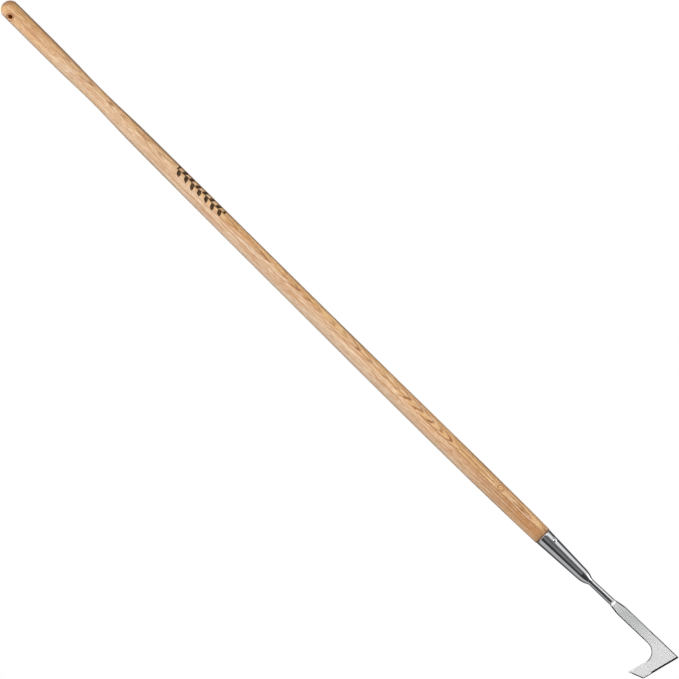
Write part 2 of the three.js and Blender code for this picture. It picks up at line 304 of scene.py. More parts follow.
def shaft_profile():
    """From the tenon's end up to the crown."""
    def tenon(height):
        return socket_radius(height) - SOCKET_WALL - FIT

    end = -MOUTH_DEPTH - TENON_LENGTH
    foot = -MOUTH_DEPTH + FIT
    upright = 2
    belly = shaft_radius(MOUTH_DEPTH - SHOULDER_ROUND)
    tip = [(0, end, 0), (tenon(TENON_LENGTH), end, TENON_ROUND), (tenon(0), foot, 0)]
    shoulder = [(tenon(0), foot, 0), (belly, foot, SHOULDER_ROUND), (belly, foot + upright, 0)]
    profile = [(0, end)]
    profile += rounded(tip)[1:-1]
    profile += [(tenon(height), -MOUTH_DEPTH - height) for height in range(70, 0, -10)]
    profile += rounded(shoulder)[:-1]
    high = SHAFT_DIAMETERS[0][0]
    low = MOUTH_DEPTH - upright
    rings = 300
    for i in range(rings + 1):
        depth = low - (low - high) * i / rings
        profile.append((shaft_radius(depth), -depth))
    dome_rings = 18
    for i in range(1, dome_rings):
        angle = math.pi / 2 * i / dome_rings
        profile.append((shaft_radius(high) * math.cos(angle), -high + DOME_DEPTH * math.sin(angle)))
    return profile + [(0, CROWN_HEIGHT)]


def hanging_hole_cutter():
    """A pin with a 45 degree flare at each end, which it meets in a rounded rim."""
    mouth = COUNTERSINK_START + FLARE_REACH
    rim = (HOLE_RADIUS, COUNTERSINK_START, HOLE_RIM)
    half = rounded([(HOLE_RADIUS, 0, 0), rim, (HOLE_RADIUS + FLARE_REACH, mouth, 0)])
    profile = [(0, -mouth)]
    profile += [(radius, -z) for radius, z in reversed(half)][:-1]
    profile += half + [(0, mouth)]
    return lathe("cutter", profile, turn(radians(90), "X"), segments=64)


def rivet_hole_cutter():
    reach = 2 * MOUTH_RADIUS
    radius = RIVET_SHANK_RADIUS + FIT
    return lathe("cutter", [(0, -reach), (radius, -reach), (radius, reach), (0, reach)], RIVET, segments=48)


def hand_sanded(piece):
    """Faint waves that turning and sanding leave on the wood."""
    for vertex in piece.data.vertices:
        x, y, z = vertex.co / MM
        centre = FOOT_DIRECTION * bow(-z)
        out = Vector((x - centre.x, y - centre.y, 0))
        wave = noise.noise(Vector((x * 0.05, y * 0.05, z * 0.012)))
        vertex.co += out.normalized() * wave * SANDING_DEPTH * MM
    return piece


def make_handle():
    """One turned shaft, bowed, sanded and bored."""
    piece = lathe("ash_handle", shaft_profile(), segments=112)
    for vertex in piece.data.vertices:
        vertex.co += FOOT_DIRECTION * bow(-vertex.co.z / MM) * MM
    hand_sanded(piece)
    cut(piece, hanging_hole_cutter(), rivet_hole_cutter())
    return finish_mesh(piece)


def make_socket():
    """A cone of bent sheet with a rounded rim, closed in a nose that the stem passes through."""
    def inner(height):
        return socket_radius(height) - SOCKET_WALL

    end = CONE_LENGTH + NOSE_LENGTH
    throat = STEM_TOP_RADIUS / 2
    nose_rings, step, upright = 14, 4, 2
    nose = [CONE_LENGTH + NOSE_LENGTH * i / nose_rings for i in range(nose_rings, -1, -1)]
    cone = range(step, int(CONE_LENGTH), step)
    rim = [
        (socket_radius(upright), -upright, 0),
        (MOUTH_RADIUS, 0, RIM_ROUND),
        (inner(0), 0, RIM_ROUND),
        (inner(upright), -upright, 0),
    ]
    profile = [(socket_radius(height), -height) for height in nose]
    profile += [(socket_radius(height), -height) for height in reversed(cone)]
    profile += rounded(rim)[1:-1]
    profile += [(inner(height), -height) for height in cone]
    profile += [(inner(height), -height) for height in reversed(nose[2:])]
    profile += [(throat, -end + SOCKET_WALL), (throat, -end)]
    piece = lathe("steel_socket", profile, HEAD, segments=112, closed=True)
    cut(piece, seam_slot_cutter(), rivet_hole_cutter(), stem_solid("cutter", FIT))
    return finish_mesh(piece)


def box_solid(name, low, high, place):
    verts = [(x, y, z) for x in (low[0], high[0]) for y in (low[1], high[1]) for z in (low[2], high[2])]
    faces = [(0, 1, 3, 2), (4, 6, 7, 5), (0, 4, 5, 1), (2, 3, 7, 6), (0, 2, 6, 4), (1, 5, 7, 3)]
    return new_piece(name, verts, faces, place)


def seam_slot_cutter():
    low = (-SEAM_HALF_WIDTH, -MOUTH_RADIUS - 2, -CONE_LENGTH + 1)
    high = (SEAM_HALF_WIDTH, -STEM_FOOT_RADIUS, 1)
    return box_solid("cutter", low, high, HEAD)


def make_seam():
    """A ground weld bead in the socket's slot: its crown laps over the sheet and carries fine ripples."""
    rows, columns = 176, 8
    run_out = 6  # its ends taper over one part in this many of its length
    top, bottom = 0.7, CONE_LENGTH - 1.2
    half_crown = SEAM_HALF_WIDTH + SEAM_LAP
    side = SEAM_HALF_WIDTH - FIT
    above, below = 0.03, 0.08  # the crown's edge off the sheet, and its root under the sheet
    verts, faces = [], []
    for i in range(rows + 1):
        height = top + (bottom - top) * i / rows
        outside = socket_radius(height)
        end = min(1, run_out * (i / rows), run_out * (1 - i / rows))
        wander = noise.noise(Vector((height * 0.2, 0, 3)))
        ripple = SEAM_RIPPLE * math.sin(height * 3.1 + 0.8 * wander)
        for k in range(columns + 1):
            x = half_crown * (2 * k / columns - 1)
            crown = (SEAM_CROWN * end ** 0.5 + ripple * end) * (1 - (x / half_crown) ** 2)
            verts.append((x, -(outside + above + crown) + x * x / (2 * MOUTH_RADIUS), -height))
        for x, y in ((side, below), (side, SOCKET_WALL), (-side, SOCKET_WALL), (-side, below)):
            verts.append((x, -outside + y, -height))
    ring = columns + 5
    for i in range(rows):
        for k in range(ring):
            a, b = i * ring + k, i * ring + (k + 1) % ring
            faces.append((a, b, b + ring, a + ring))
    faces.append(tuple(range(ring)))
    faces.append(tuple(range(rows * ring, (rows + 1) * ring)))
    return finish_mesh(new_piece("socket_seam", verts, faces, HEAD), 50)


def make_rivet():
    """A pin through socket and tenon with a domed head and, on the far side, a flatter peened tail."""
    face = socket_radius(RIVET_HEIGHT) + 0.02
    under = face - 0.5
    tail_radius = RIVET_HEAD_RADIUS * RIVET_TAIL_WIDTH
    tail_rise = RIVET_HEAD_RISE * RIVET_TAIL_RISE
    steps = 12

    def dome(rise, radius, fullness):
        points = []
        for i in range(steps):
            angle = math.pi / 2 * i / steps
            points.append((radius * math.cos(angle) ** fullness, face + RIVET_LIP + rise * math.sin(angle)))
        return points

    head = dome(RIVET_HEAD_RISE - RIVET_LIP, RIVET_HEAD_RADIUS, 0.9)
    tail = [(radius, -z) for radius, z in dome(tail_rise, tail_radius, 0.55)]
    profile = [(0, -face - RIVET_LIP - tail_rise)] + tail[::-1]
    profile += [(tail_radius, -face), (RIVET_SHANK_RADIUS, -under), (RIVET_SHANK_RADIUS, under)]
    profile += [(RIVET_HEAD_RADIUS, face)] + head + [(0, face + RIVET_HEAD_RISE)]
    return finish_mesh(lathe("rivet_pin", profile, RIVET, segments=56))


def stem_solid(name, clearance=0.0):
    """The stem, or with a clearance the bore for it. It is a little thicker at its foot."""
    end = STEM_BURIED + clearance
    foot_radius = STEM_FOOT_RADIUS + clearance
    top_radius = STEM_TOP_RADIUS + clearance
    corners = [
        (0, -STEM_LENGTH, 0),
        (foot_radius, -STEM_LENGTH, STEM_EDGE),
        (foot_radius - 0.1, -STEM_LENGTH + 8, 3),
        (top_radius, 0, 6),
        (top_radius, end, 1),
        (0, end, 0),
    ]
    return lathe(name, rounded(corners, 7), STEM, segments=80)


def make_stem():
    return finish_mesh(stem_solid("round_stem"))


def make_nose_weld():
    """The ring of weld that carries the nose on down to the stem, dressed smooth."""
    slack, pull_length, nose_slope = 0.02, 2.6, 0.43
    top = STEM_START - CONE_LENGTH - NOSE_LENGTH - slack
    low = -2.8
    inner = STEM_TOP_RADIUS + FIT
    outer = socket_radius(CONE_LENGTH + NOSE_LENGTH) - slack
    low_pull = (inner + 0.08, -0.6)
    top_pull = (outer - nose_slope * pull_length, top - pull_length)
    sweep = bezier((inner + slack, low), low_pull, top_pull, (outer, top), 16)
    profile = sweep + [(outer, top), (outer - 1.2, top), (inner, top), (inner, low)]
    piece = lathe("nose_weld_ring", profile, segments=80, closed=True)
    for vertex in piece.data.vertices:
        x, y, z = vertex.co / MM
        if math.hypot(x, y) > inner + slack / 2:
            vertex.co.x += STEM_OFFSET * MM * smooth((z - low) / (top - low))
    piece.data.transform(STEM)
    return finish_mesh(piece, 60)


def crotch_centre():
    """(u, v) of the fillet's centre between shank and foot, and the foot's lean in radians."""
    along = Vector((SOLE_END[0] - HEEL[0], SOLE_END[1] - HEEL[1])).normalized()
    out = Vector((-along.y, along.x))
    offset = Vector(TOE) + out * CROTCH_RADIUS
    v = SHANK_INNER + CROTCH_RADIUS
    u = offset.x + along.x * (v - offset.y) / along.y
    return Vector((u, v)), math.atan2(-along.x, along.y)


def blade_outline():
    """(u, v) points round the plate: down the inner side, round the crotch, the foot, and back up."""
    flare_steps, crotch_steps = 14, 24
    neck = (0.1, NECK_HALF_WIDTH)
    shank_top = (FLARE_LENGTH, SHANK_INNER)
    flare_in = bezier(neck, FLARE_PULL_NECK, FLARE_PULL_SHANK, shank_top, flare_steps)
    centre, lean = crotch_centre()
    crotch = []
    for i in range(crotch_steps + 1):
        angle = (math.pi / 2 + lean) * i / crotch_steps
        across, down = CROTCH_RADIUS * math.sin(angle), CROTCH_RADIUS * math.cos(angle)
        crotch.append((centre.x + across, centre.y - down))
    pull_shank, pull_neck, back_neck = ((u, -v) for u, v in (FLARE_PULL_SHANK, FLARE_PULL_NECK, neck))
    flare_out = bezier(BACK_TOP, pull_shank, pull_neck, back_neck, flare_steps)
    return flare_in + crotch + [TOE, SOLE_END, HEEL] + flare_out + [back_neck]


def plate(name, outline, thickness, place):
    """A flat plate from a (u, v) outline, where u runs down and v towards the toe."""
    half = thickness / 2
    count = len(outline)
    verts = [(v, y, -u) for y in (half, -half) for u, v in outline]
    faces = [tuple(range(count)), tuple(range(2 * count - 1, count - 1, -1))]
    for i in range(count):
        j = (i + 1) % count
        faces.append((i, i + count, j + count, j))
    return new_piece(name, verts, faces, place)


def bevel_cutter(start, end, width, share=1):
    """A wedge that grinds the front edge between two outline points. Over a share of the way, it fades."""
    overrun = 6
    along = Vector((end[1] - start[1], 0, start[0] - end[0])).normalized()
    outward = Vector((along.z, 0, -along.x))
    front = along.cross(outward)
    depth = width * math.tan(radians(BEVEL_ANGLE))
    section = [(-width, 0), (width * 2, -3 * depth), (width * 2, BLADE_THICKNESS), (-width, BLADE_THICKNESS)]
    origin = Vector((start[1], BLADE_THICKNESS / 2, -start[0]))
    length = (Vector(end) - Vector(start)).length * share
    if share == 1:
        stations = [(-overrun, 0), (length + overrun, 0)]
    else:
        stations = [(-overrun, 0), (length, 0), (length + BEVEL_RUN_OUT, width * 1.5)]
    verts = []
    for distance, lift in stations:
        verts += [origin + along * distance + outward * (a + lift) + front * b for a, b in section]
    last = 4 * (len(stations) - 1)
    faces = [(0, 1, 2, 3), (last + 3, last + 2, last + 1, last)]
    for ring in range(0, last, 4):
        faces += [(ring + i, ring + i + 4, ring + (i + 1) % 4 + 4, ring + (i + 1) % 4) for i in range(4)]
    return new_piece("cutter", verts, faces, BLADE)


def flatten_shading(piece):
    """Keeps large flat faces flat beside their rounded edges."""
    modifier = piece.modifiers.new("shading", "WEIGHTED_NORMAL")
    modifier.keep_sharp = True
    return bake_modifiers(piece)


def make_blade():
    """The hooked plate with worn edges, ground along the sole and the toe."""
    piece = plate("hooked_blade", blade_outline(), BLADE_THICKNESS, BLADE)
    soften_edges(piece, EDGE_ROUND)
    sole_bevel = bevel_cutter(HEEL, SOLE_END, SOLE_BEVEL_WIDTH, SOLE_BEVEL_SHARE)
    cut(piece, sole_bevel, bevel_cutter(SOLE_END, TOE, TOE_BEVEL_WIDTH))
    finish_mesh(piece, 30)
    return flatten_shading(piece)


def make_neck_weld(name, side):
    """The ramp of weld from the stem's round foot down to the plate's face, front or back."""
    rows, columns = 16, 24
    row = columns + 1
    into_stem, skirt = 0.02, 0.1
    face = BLADE_THICKNESS / 2 + 0.01
    crest = STEM_FOOT_RADIUS - 0.9 - face
    verts, faces = [], []
    for i in range(rows + 1):
        t = i / rows
        u = -into_stem + WELD_LENGTH * t
        half = NECK_HALF_WIDTH - 0.25 + 0.35 * t
        fall = 1 - 0.3 * smooth(t) - 0.7 * t
        for k in range(row):
            across = 2 * k / columns - 1
            arch = crest * (1 - across ** 4) ** 0.5
            ripple = 0.03 * math.sin(u * 3.2 + across * across * 1.5) * (1 - t) * (1 - across ** 2)
            verts.append((half * across, face + skirt + arch * fall + ripple, -u))
    grid = len(verts)
    verts += [(x, face, z) for x, _, z in verts]
    for i in range(rows):
        for k in range(columns):
            a = i * row + k
            faces.append((a, a + 1, a + row + 1, a + row))
            faces.append((grid + a, grid + a + row, grid + a + row + 1, grid + a + 1))
    border = list(range(row)) + [i * row + columns for i in range(1, rows + 1)]
    border += [rows * row + k for k in range(columns - 1, -1, -1)]
    border += [i * row for i in range(rows - 1, 0, -1)]
    for a, b in zip(border, border[1:] + border[:1]):
        faces.append((a, a + grid, b + grid, b))
    place = BLADE @ turn(0 if side > 0 else math.pi, "Z")
    return finish_mesh(new_piece(name, verts, faces, place), 55)


# ---- Materials
class Nodes:
    """Short ways to add shader nodes to a tree."""

    def __init__(self, tree):
        self.tree = tree

    def node(self, kind, inputs=(), output=0, **settings):
        made = self.tree.nodes.new("ShaderNode" + kind)
        for key, value in settings.items():
            setattr(made, key, value)
        for key, value in dict(inputs).items():
            socket = made.inputs[key]
            if isinstance(value, bpy.types.NodeSocket):
                self.tree.links.new(value, socket)
            else:
                socket.default_value = value
        return made.outputs[output]

    def math(self, operation, *values):
        return self.node("Math", dict(enumerate(values)), operation=operation)

    def plus(self, value, other):
        return self.math("ADD", value, other)

    def minus(self, value, other):
        return self.math("SUBTRACT", value, other)

    def times(self, *values):
        total = values[0]
        for value in values[1:]:
            total = self.math("MULTIPLY", total, value)
        return total

    def scaled(self, vector, x, y, z):
        return self.node("VectorMath", {0: vector, 1: (x, y, z)}, operation="MULTIPLY")

    def apart(self, vector, other):
        return self.node("VectorMath", {0: vector, 1: other}, operation="SUBTRACT")

    def dot(self, vector, other):
        return self.node("VectorMath", {0: vector, 1: other}, output=1, operation="DOT_PRODUCT")

    def length(self, vector):
        return self.node("VectorMath", {0: vector}, output=1, operation="LENGTH")

    def noise(self, vector, scale=1.0, detail=3.0, roughness=0.5):
        inputs = {"Vector": vector, "Scale": scale, "Detail": detail, "Roughness": roughness}
        return self.node("TexNoise", inputs)

    def ramp(self, value, low, high, to_low=0.0, to_high=1.0):
        """Maps low..high to to_low..to_high, smoothly and clamped."""
        inputs = {"Value": value, "From Min": low, "From Max": high, "To Min": to_low, "To Max": to_high}
        return self.node("MapRange", inputs, interpolation_type="SMOOTHSTEP")

    def band(self, value, start, full, dim, end):
        """1 from full to dim, and 0 up to start and from end on."""
        return self.times(self.ramp(value, start, full), self.ramp(value, dim, end, 1, 0))

    def distance_from(self, value, middle):
        return self.math("ABSOLUTE", self.minus(value, middle))

    def mix(self, factor, a, b):
        return self.node("MixRGB", {0: factor, 1: a, 2: b})

    def layered(self, colour, *layers):
        """A colour under layers, each of which is (how much of it, its colour)."""
        for factor, layer in layers:
            colour = self.mix(factor, colour, layer)
        return colour

    def grey_ramp(self, value, stops):
        """Grey levels through (position, level) stops."""
        output = self.node("ValToRGB", {0: value})
        ramp = output.node.color_ramp
        while len(ramp.elements) < len(stops):
            ramp.elements.new(0.5)
        for element, (position, level) in zip(ramp.elements, stops):
            element.position = position
            element.color = (level, level, level, 1)
        return output


class Shader(Nodes):
    """A material with a Principled shader."""

    def __init__(self, name):
        self.material = bpy.data.materials.new(name)
        self.material.use_nodes = True
        super().__init__(self.material.node_tree)
        self.surface = self.tree.nodes["Principled BSDF"]

    def set(self, **values):
        for key, value in values.items():
            self.surface.inputs[key].default_value = value

    def link(self, output, name):
        self.tree.links.new(output, self.surface.inputs[name])

    def bump(self, height, distance):
        inputs = {"Height": height, "Distance": distance * MM, "Strength": 0.5}
        self.link(self.node("Bump", inputs), "Normal")

    def in_mm(self):
        place = self.node("TexCoord", output=3)
        return self.scaled(place, 1000, 1000, 1000)


def srgb(red, green, blue):
    """Linear colour of an 8-bit display colour."""
    def linear(value):
        value /= 255
        return value / 12.92 if value <= 0.04045 else ((value + 0.055) / 1.055) ** 2.4

    return (linear(red), linear(green), linear(blue), 1)


# Azimuths are degrees round from -Y towards +X. The blade's front looks to FRONT_AZIMUTH.
GRAIN_AZIMUTH = FRONT_AZIMUTH + 30  # the side where the flat-sawn figure shows
WARM_AZIMUTH = FRONT_AZIMUTH + 60  # the middle of the shaft's more orange side
PITH_DISTANCE = 38
RING_SPACING = 1.05
FIGURE_DEPTH = 430  # the figure's arches point up above this and down below it
FIGURE_START = 300  # above and below the figure the grain runs straight
FIGURE_END = 1030
FIGURE_REACH = 300  # how soon the arches straighten away from their crest
FIGURE_SLOPE = 0.056
WEAVE_DEPTH = 533  # the figure wanders from side to side, in waves
WEAVE_LENGTH = 600
WEAVE_WIDTH = 3.6
KNOT_DEPTH = 1120

# (share of a year's ring, how porous the wood is there)
POROUS_LEVELS = [(0, 0.1), (0.04, 1), (0.24, 1), (0.42, 0.1), (0.95, 0), (1, 0.1)]
# (share of the shaft's length, how rosy the pale wood is there)
ROSY_LEVELS = [(0, 0), (0.06, 0.1), (0.1, 1), (0.6, 1), (0.8, 0.6), (0.91, 0.4), (0.96, 0)]
STREAKS = [  # (mm to the right, from and to as shares of the length, strength)
    (-1.4, -0.02, 0.07, 0.45),
    (6.8, -0.02, 0.05, 0.42),
    (2.4, 0.76, 1.01, 0.6),
    (-1.7, 0.87, 1.01, 0.45),
    (-6.7, 0.88, 1.01, 0.35),
]

MARK_AZIMUTH = FRONT_AZIMUTH + 32
MARK_DEPTH = 426  # middle of the burnt sprig
MARK_LENGTH = 110
STALK_WAVE = 44
LEAF_PITCH = 15.5
LEAF_LENGTH = 7.0  # from its middle to its tip
LEAF_WIDTH = 3.4  # from its middle to its side
LEAF_LEAN = radians(52)
LEAF_ROOT = 4.8  # from the stalk to the leaf's middle

# The wood's colours, then the steel's and the floor's
YELLOW_PALE = srgb(255, 208, 150)
ROSY_PALE = srgb(252, 227, 195)
ORANGE_PALE = srgb(252, 210, 144)
RING_BROWN = srgb(172, 116, 74)
RING_DARK = srgb(124, 58, 24)
FIBRE_BROWN = srgb(202, 147, 101)
RIBBON_PALE = srgb(252, 232, 208)
VESSEL_BROWN = srgb(176, 118, 74)
FLECK_PALE = srgb(255, 236, 208)
PATCH_BROWN = srgb(206, 146, 92)
MEAN_WOOD = srgb(228, 190, 152)
HALF_BROWN = srgb(172, 120, 80)
STREAK_BROWN = srgb(146, 94, 52)
END_GRAIN_AND_SHADE = srgb(96, 70, 50)
# The next four are painted light: a grey sheen on the left edge, and shade on the left outline, the grip's
# right side and the right outline
PAINTED_LEFT_SHEEN = srgb(238, 214, 190)
PAINTED_LEFT_EDGE_SHADE = srgb(146, 120, 98)
PAINTED_GRIP_SHADE = srgb(150, 96, 52)
PAINTED_RIGHT_EDGE_SHADE = srgb(130, 102, 80)
BAND_BROWN = srgb(160, 104, 58)
SHOULDER_BROWN = srgb(110, 78, 56)
SHOULDER_DARK = srgb(84, 58, 42)
KNOT_PALE = srgb(244, 190, 124)
KNOT_BARK = srgb(146, 84, 40)
KNOT_CORE = srgb(150, 84, 30)
RIM_BROWN = srgb(134, 80, 42)
BORE_BROWN = srgb(178, 108, 50)
BURNT_BLACK = srgb(30, 13, 7)
POLISHED_TONE = (214, 215, 218)  # display colours, which polishing() shades
SATIN_TONE = (225, 226, 227)
# painted dark reflections for the blade's edges
PAINTED_EDGE_GREY = srgb(34, 34, 36)
PAINTED_EDGE_BLACK = srgb(16, 16, 18)
WELD_PALE = srgb(186, 186, 186)
WELD_GREY = srgb(164, 163, 161)
WELD_STRAW = srgb(190, 184, 172)
FLOOR_GREY = srgb(243, 243, 243)
FLOOR_PALE = srgb(247, 247, 247)
WHITE = (1, 1, 1, 1)


def facing(azimuth):
    """The level direction at an azimuth."""
    return Vector((math.sin(radians(azimuth)), -math.cos(radians(azimuth)), 0))


def growth_rings(mat, place):
    """A coordinate that grows by one with every year's ring, and the distance from the knot."""
    depth = mat.dot(place, (0, 0, -1))
    height = mat.dot(place, facing(GRAIN_AZIMUTH))
    side = mat.dot(place, facing(GRAIN_AZIMUTH + 90))
    turns = mat.times(mat.minus(depth, WEAVE_DEPTH), 2 * math.pi / WEAVE_LENGTH)
    side_there = mat.plus(side, mat.times(mat.math("SINE", turns), WEAVE_WIDTH))
    from_pith = mat.node("CombineXYZ", {0: mat.plus(height, PITH_DISTANCE), 1: side_there, 2: 0.0})
    figured = mat.math("MAXIMUM", mat.math("MINIMUM", depth, FIGURE_END), FIGURE_START)
    off_crest = mat.math("DIVIDE", mat.minus(figured, FIGURE_DEPTH), FIGURE_REACH)
    hyperbola = mat.math("SQRT", mat.plus(mat.times(off_crest, off_crest), 1.0))
    drift = mat.times(hyperbola, -FIGURE_SLOPE * FIGURE_REACH)
    slow = mat.noise(mat.scaled(place, 0.03, 0.03, 0.005), 1, 2)
    fine = mat.noise(mat.scaled(place, 0.16, 0.16, 0.009), 1, 2)
    warp = mat.plus(mat.times(slow, 3.2), mat.times(fine, 1.1))
    knot_axis = mat.node("CombineXYZ", {0: side, 1: mat.minus(depth, KNOT_DEPTH), 2: 0.0})
    off_knot = mat.length(knot_axis)
    total = mat.length(from_pith)
    for part in (drift, warp, mat.ramp(off_knot, 0, 12, 3.6, 0)):
        total = mat.plus(total, part)
    return mat.math("DIVIDE", total, RING_SPACING), off_knot


def leaf_row(mat, along, arc, side, start):
    """One side's row of the sprig: a pointed leaf in every cell, leaning along the stalk, with a vein."""
    cell = mat.math("FRACT", mat.math("DIVIDE", mat.plus(along, start), LEAF_PITCH))
    x = mat.times(mat.minus(cell, 0.5), LEAF_PITCH)
    y = mat.minus(mat.times(arc, side), LEAF_ROOT)
    run, rise = math.cos(LEAF_LEAN), math.sin(LEAF_LEAN)
    lengthwise = mat.plus(mat.times(x, run), mat.times(y, rise))
    crosswise = mat.distance_from(mat.times(y, run), mat.times(x, rise))
    share = mat.math("DIVIDE", lengthwise, LEAF_LENGTH)
    edge = mat.times(mat.minus(1.0, mat.times(share, share)), LEAF_WIDTH)
    inside = mat.minus(edge, crosswise)
    vein = mat.ramp(crosswise, 0.1, 0.35, 0.6, 1)
    return mat.times(mat.ramp(inside, -0.2, 0.25), vein)


def burnt_sprig(mat, place):
    """1 on a burnt sprig of leaves along a waving stalk, 0 elsewhere."""
    across = mat.dot(place, facing(MARK_AZIMUTH + 90))
    out = mat.dot(place, facing(MARK_AZIMUTH))
    along = mat.minus(mat.dot(place, (0, 0, -1)), MARK_DEPTH)
    arc = mat.times(mat.math("ARCTAN2", across, out), shaft_radius(MARK_DEPTH))
    arc = mat.minus(arc, mat.math("SINE", mat.times(along, 2 * math.pi / STALK_WAVE)))
    window = mat.ramp(mat.math("ABSOLUTE", along), MARK_LENGTH / 2 - 1, MARK_LENGTH / 2, 1, 0)
    stalk = mat.ramp(mat.math("ABSOLUTE", arc), 0.75, 1.15, 1, 0)
    low = 40 * LEAF_PITCH  # whole cells, which keep the place in the row positive
    right = leaf_row(mat, along, arc, 1, low)
    left = leaf_row(mat, along, arc, -1, low + LEAF_PITCH / 2)
    mark = mat.math("MAXIMUM", stalk, mat.math("MAXIMUM", right, left))
    return mat.times(mark, window, mat.ramp(out, 0, 2))


def porous_lines(mat, rings, vessels):
    """The dark line of every year's ring, stronger in some years and broken up by the vessels."""
    porous = mat.grey_ramp(mat.math("FRACT", rings), POROUS_LEVELS)
    year = mat.node("CombineXYZ", {0: mat.math("FLOOR", rings), 1: 0.5, 2: 2.5})
    strength = mat.ramp(mat.noise(year, 0.83, 1), 0.38, 0.56, 0.55, 1.0)
    return mat.times(porous, mat.times(strength, mat.ramp(vessels, 0, 1, 0.65, 1)))


def sawn_wood(mat, place, share, fibres, vessels, lines):
    """The wood's own colours: a paler and a warmer side, fibres, ribbons, rings, vessels and flecks."""
    flecks = mat.ramp(mat.noise(mat.scaled(place, 0.8, 0.8, 0.09), 1, 2), 0.52, 0.66)
    ribbons = mat.noise(mat.scaled(place, 0.3, 0.3, 0.004), 1, 3)
    patches = mat.noise(mat.scaled(place, 0.06, 0.06, 0.009), 1, 2)
    warm_side = mat.ramp(mat.dot(place, facing(WARM_AZIMUTH)), 7.5, 12.5)
    pale = mat.mix(mat.grey_ramp(share, ROSY_LEVELS), YELLOW_PALE, ROSY_PALE)
    pale = mat.mix(warm_side, pale, ORANGE_PALE)
    ring = mat.mix(warm_side, RING_BROWN, RING_DARK)
    return mat.layered(
        pale,
        (mat.ramp(fibres, 0.38, 0.64, 0, 0.88), FIBRE_BROWN),
        (mat.ramp(ribbons, 0.5, 0.72, 0, 0.6), RIBBON_PALE),
        (mat.times(lines, 0.95), ring),
        (mat.times(vessels, 0.34), VESSEL_BROWN),
        (mat.times(flecks, 0.42), FLECK_PALE),
        (mat.ramp(patches, 0.45, 0.7, 0, 0.22), PATCH_BROWN),
    )


def ash_wood():
    """Flat-sawn ash: a thin porous line in every year, open vessels, uneven colour, a knot and a mark."""
    mat = Shader("ash_wood")
    place = mat.in_mm()
    share = mat.math("DIVIDE", mat.dot(place, (0, 0, -1)), MOUTH_DEPTH)
    to_the_right = mat.dot(place, facing(FRONT_AZIMUTH + 90))
    sideways = mat.plus(to_the_right, bow_there(mat, share))
    rings, off_knot = growth_rings(mat, place)
    vessels = mat.ramp(mat.noise(mat.scaled(place, 1.1, 1.1, 0.09), 1, 3, 0.6), 0.42, 0.6)
    fibres = mat.noise(mat.scaled(place, 0.62, 0.62, 0.012), 1, 5, 0.62)
    lines = porous_lines(mat, rings, vessels)
    wood = sawn_wood(mat, place, share, fibres, vessels, lines)
    wood = calmed_and_browned(mat, wood, share, sideways, fibres)
    wood = streaked(mat, wood, share, sideways, fibres)
    # sided() paints light and shade: a grey sheen on the left edge and shade along the outlines and on the
    # grip's right side
    wood = sided(mat, wood, share, sideways)
    wood = shouldered(mat, wood, share)
    wood = knotted(mat, wood, off_knot)
    wood = around_hole(mat, place, wood)
    mark = burnt_sprig(mat, place)
    char = mat.times(mark, mat.ramp(vessels, 0, 1, 0.93, 0.99))
    mat.link(mat.mix(char, wood, BURNT_BLACK), "Base Color")
    roughness = mat.plus(mat.ramp(fibres, 0.3, 0.7, 0.5, 0.62), mat.times(mark, 0.25))
    mat.link(roughness, "Roughness")
    mat.link(mat.ramp(mark, 0, 1, 0.15, 0.05), "Specular IOR Level")
    depth = mat.plus(lines, mat.times(vessels, 0.5))
    depth = mat.plus(depth, mat.times(mark, 4.0))
    mat.bump(mat.times(depth, -1.0), 0.05)
    return mat.material


def bow_there(mat, share):
    """How far the shaft's centre is bowed to the left, at a share of its length."""
    rise = mat.math("POWER", mat.math("MAXIMUM", share, 0.0), BOW_POWER)
    return mat.times(rise, mat.minus(1.0, share), BOW_SCALE)


def calmed_and_browned(mat, wood, share, sideways, fibres):
    """Less contrast in the upper third, and a brown left half that deepens towards the socket."""
    calm = mat.times(mat.ramp(share, 0, 0.09, 0.06, 0.2), mat.ramp(share, 0.3, 0.38, 1, 0))
    wood = mat.mix(calm, wood, MEAN_WOOD)
    creep = mat.plus(share, mat.ramp(fibres, 0.3, 0.7, -0.012, 0.012))
    half = mat.times(mat.ramp(sideways, 3, 4.2, 1, 0), mat.ramp(sideways, -15, -8, 0.3, 1))
    return mat.mix(mat.times(mat.ramp(creep, 0.78, 0.94, 0, 0.42), half), wood, HALF_BROWN)


def streaked(mat, wood, share, sideways, fibres):
    """Dark lines along the grain, and darker end grain at the crown, which reaches down its right side as
    painted shade.
    """
    fade = 0.02
    for at, start, end, strength in STREAKS:
        off = mat.distance_from(sideways, mat.ramp(fibres, 0, 1, at - 1, at + 1))
        line = mat.ramp(off, 0.4, 1.3, strength, 0)
        reach = mat.band(share, start, start + fade, end - fade, end)
        wood = mat.mix(mat.times(line, reach), wood, STREAK_BROWN)
    # dark end grain on the crown; its longer reach down the right side is painted shade
    crown = mat.minus(mat.times(share, MOUTH_DEPTH), mat.times(sideways, 0.6))
    return mat.mix(mat.ramp(crown, -25, -13, 0.6, 0), wood, END_GRAIN_AND_SHADE)


